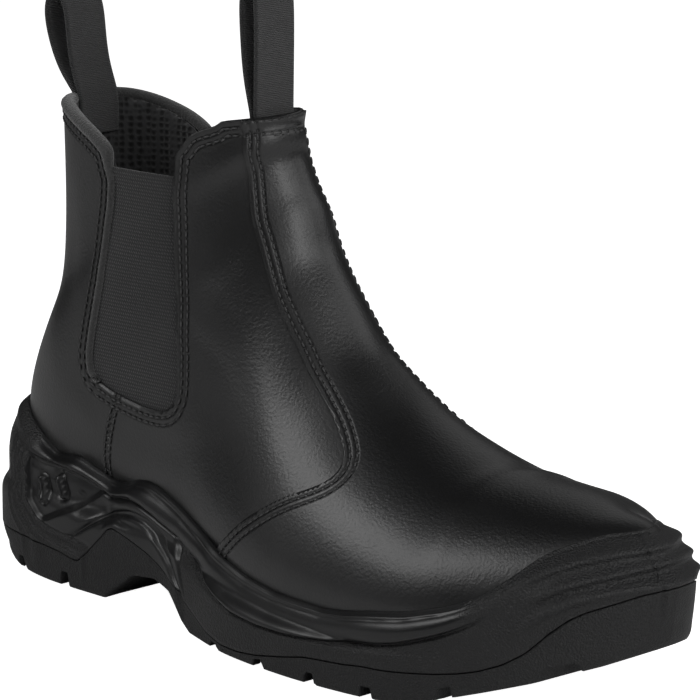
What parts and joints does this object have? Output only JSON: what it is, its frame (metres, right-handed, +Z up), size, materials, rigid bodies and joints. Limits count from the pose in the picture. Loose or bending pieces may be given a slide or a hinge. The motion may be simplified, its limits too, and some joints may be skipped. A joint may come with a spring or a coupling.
{
  "type": "work boot",
  "caption": "Ankle-high pull-on work boot with leather upper, elastic side panels, webbing pull loops and a moulded two-layer sole with a lugged tread.",
  "frame": {"origin": "centre of the boot's bounding box, on the plane that the sole stands on", "axes": "+X towards the toe, +Y towards the inner side of the foot, +Z up"},
  "size_m": [0.3018, 0.1082, 0.2183],
  "materials": {
    "leather": "black smooth leather, semi-gloss",
    "elastic": "black woven elastic, matte",
    "webbing": "black ribbed webbing, matte",
    "midsole": "black moulded foam, satin and sand-textured",
    "outsole": "black moulded tread, fine texture",
    "footbed": "dark grey cloth, matte"
  },
  "bodies": {
    "root": {"upper": "leather", "gore_lateral": "elastic", "gore_medial": "elastic", "pull_loop_back": "webbing", "pull_loop_front": "webbing", "midsole": "midsole", "outsole": "outsole", "insole": "footbed"}
  },
  "joints": []
}
